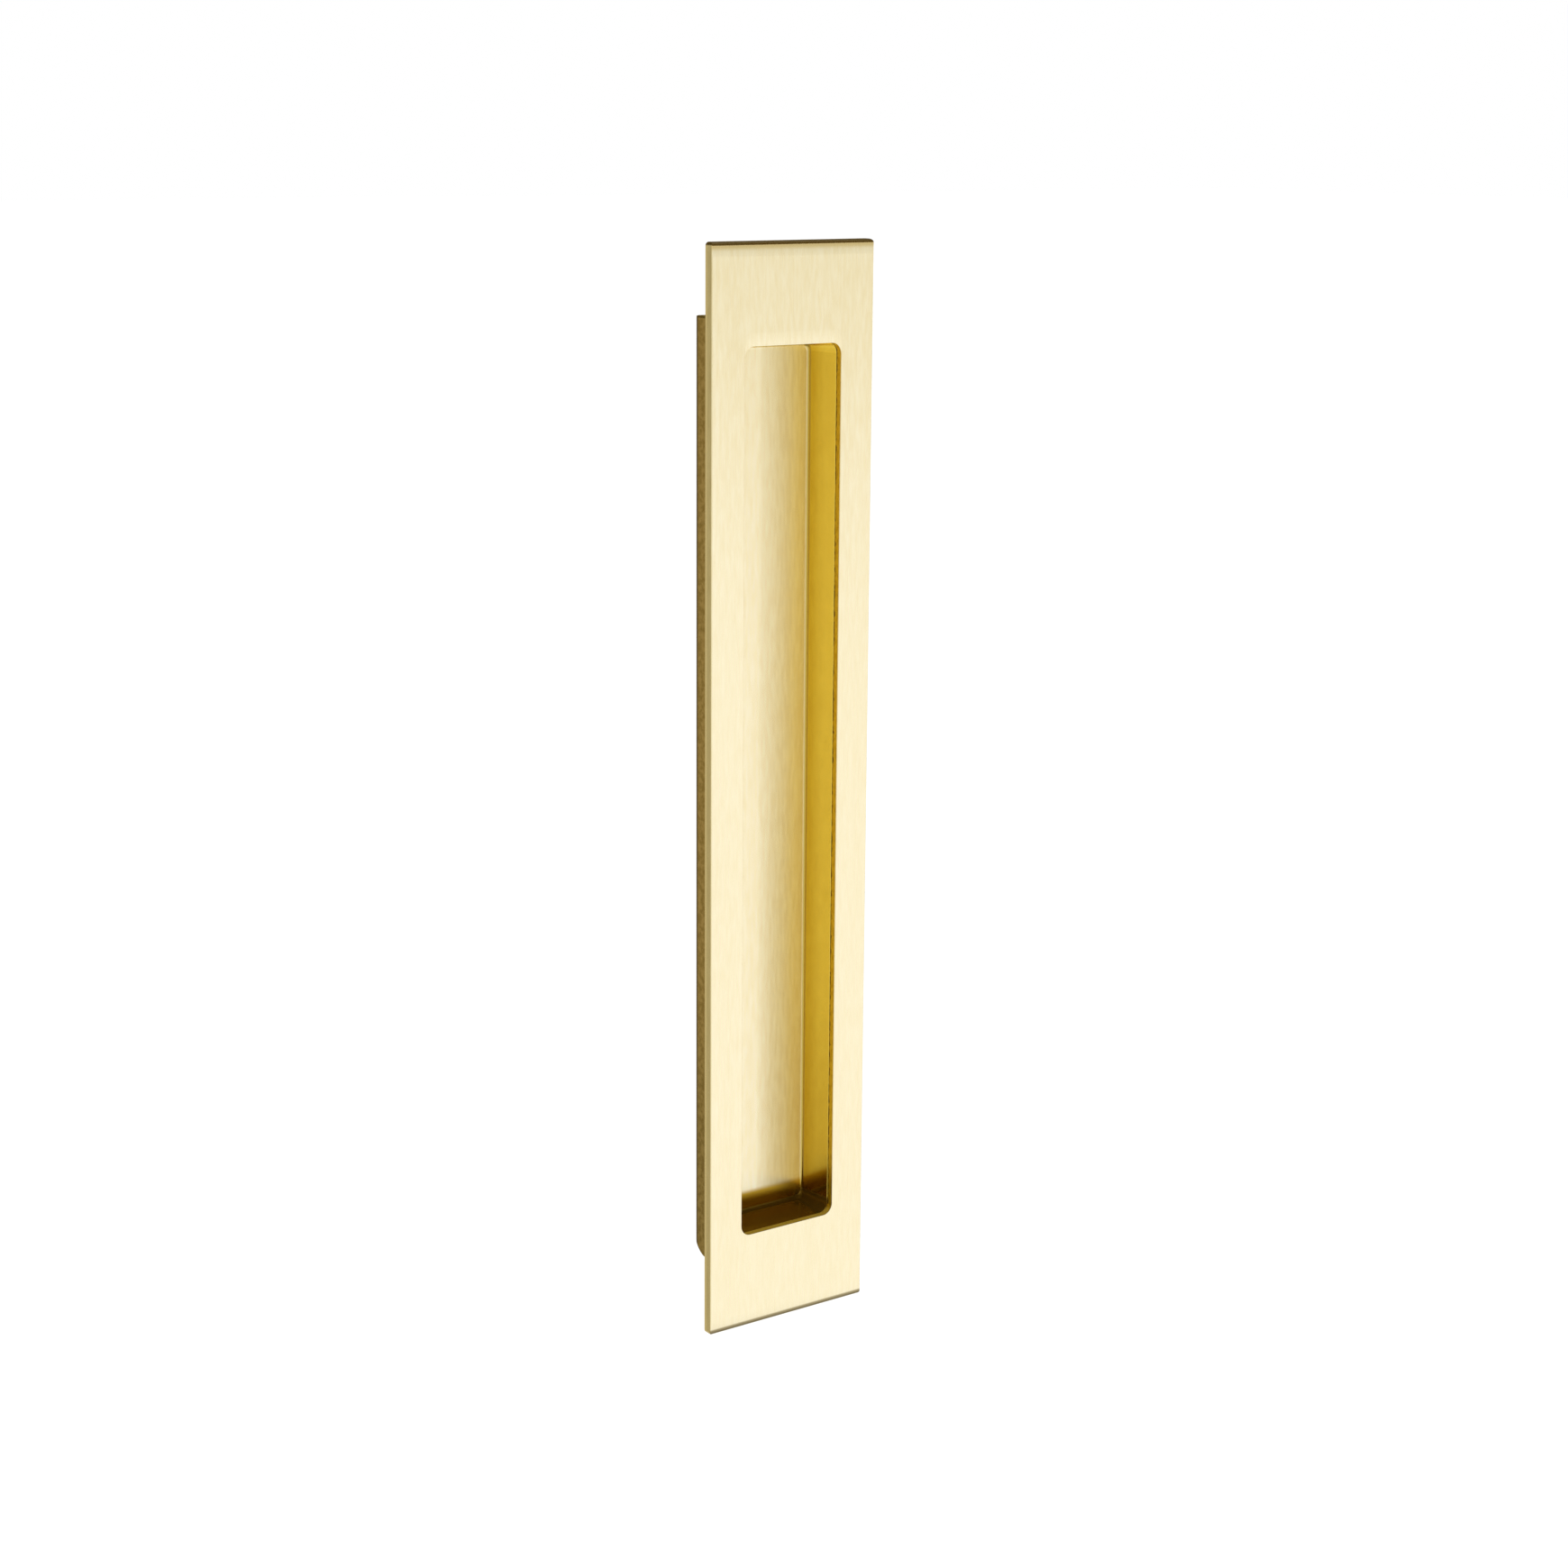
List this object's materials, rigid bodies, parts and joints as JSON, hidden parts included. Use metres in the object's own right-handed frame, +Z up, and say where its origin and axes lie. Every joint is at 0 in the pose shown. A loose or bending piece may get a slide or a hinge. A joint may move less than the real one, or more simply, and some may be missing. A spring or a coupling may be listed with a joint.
{
  "type": "pocket door pull",
  "caption": "Rectangular flush pull for a pocket or sliding door: brushed brass face plate with a long finger opening and a shallow cast recess pan brazed behind it.",
  "frame": {"origin": "centre of the plate's rear face, the plane that lies on the door", "axes": "+Z up along the plate's length, +Y into the door, front faces -Y, +X to the right seen from the front"},
  "size_m": [0.035, 0.0097, 0.2],
  "materials": {
    "face_plate": "satin, brushed end to end",
    "recess_pan": "brushed floor, smooth side walls"
  },
  "bodies": {
    "root": {"face_plate": "face_plate", "recess_pan": "recess_pan"}
  },
  "joints": []
}
